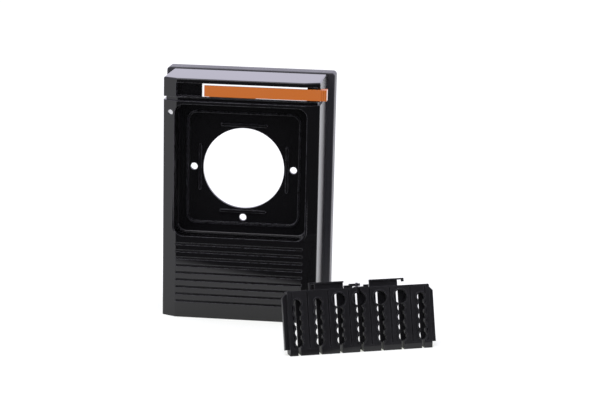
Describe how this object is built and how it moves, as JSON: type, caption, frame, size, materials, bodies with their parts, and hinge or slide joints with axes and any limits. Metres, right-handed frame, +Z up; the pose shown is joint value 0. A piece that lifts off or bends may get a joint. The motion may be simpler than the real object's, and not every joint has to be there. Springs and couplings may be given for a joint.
{
  "type": "pedestrian signal head housing",
  "caption": "Black moulded signal head housing with a recessed round lens opening, grooved lower panel, orange slide bar and a loose two-part cable comb.",
  "frame": {"origin": "centre of the lens aperture at the front face of the insert seat", "axes": "+X right seen from the front, +Y into the wall the housing is fixed to, +Z up"},
  "size_m": [0.1725, 0.1216, 0.1463],
  "materials": {
    "gloss_black": "polished black moulding",
    "frame_black": "satin-gloss black moulding",
    "orange": "satin orange moulding",
    "comb_plastic": "fine-grained charcoal moulding",
    "seal_rubber": "matt black rubber",
    "zinc_steel": "bright zinc",
    "spring_steel": "rolled spring steel",
    "brass": "turned"
  },
  "bodies": {
    "housing": {"front_cover": "gloss_black", "header_cap": "gloss_black", "rear_frame": "frame_black", "detent_spring": "spring_steel", "spring_rivet": "brass", "wall_washers": "seal_rubber", "body_gasket": "seal_rubber", "wall_gasket": "seal_rubber", "cover_screws": "zinc_steel", "cover_inserts": "brass", "header_screws": "zinc_steel", "header_inserts": "brass"},
    "bar": {"slide_bar": "orange"},
    "comb_near": {"comb_left": "comb_plastic", "comb_rail_left": "comb_plastic", "comb_seal_left": "seal_rubber", "comb_hinge_pin": "spring_steel"},
    "comb_far": {"comb_right": "comb_plastic", "comb_rail_right": "comb_plastic", "comb_seal_right": "seal_rubber"}
  },
  "joints": [
    {"name": "bar_slide", "type": "slide", "parent": "housing", "child": "bar", "axis": [1, 0, 0], "range_m": [0, 0.03]},
    {"name": "comb_lift", "type": "slide", "parent": "housing", "child": "comb_near", "axis": [0, 0, 1], "range_m": [0, 0.06]},
    {"name": "comb_hinge", "type": "hinge", "parent": "comb_near", "child": "comb_far", "pos_m": [0.07936, -0.06722, -0.09094], "axis": [-0.113, 0.2514, 0.9613], "range_deg": [0, 15]}
  ]
}
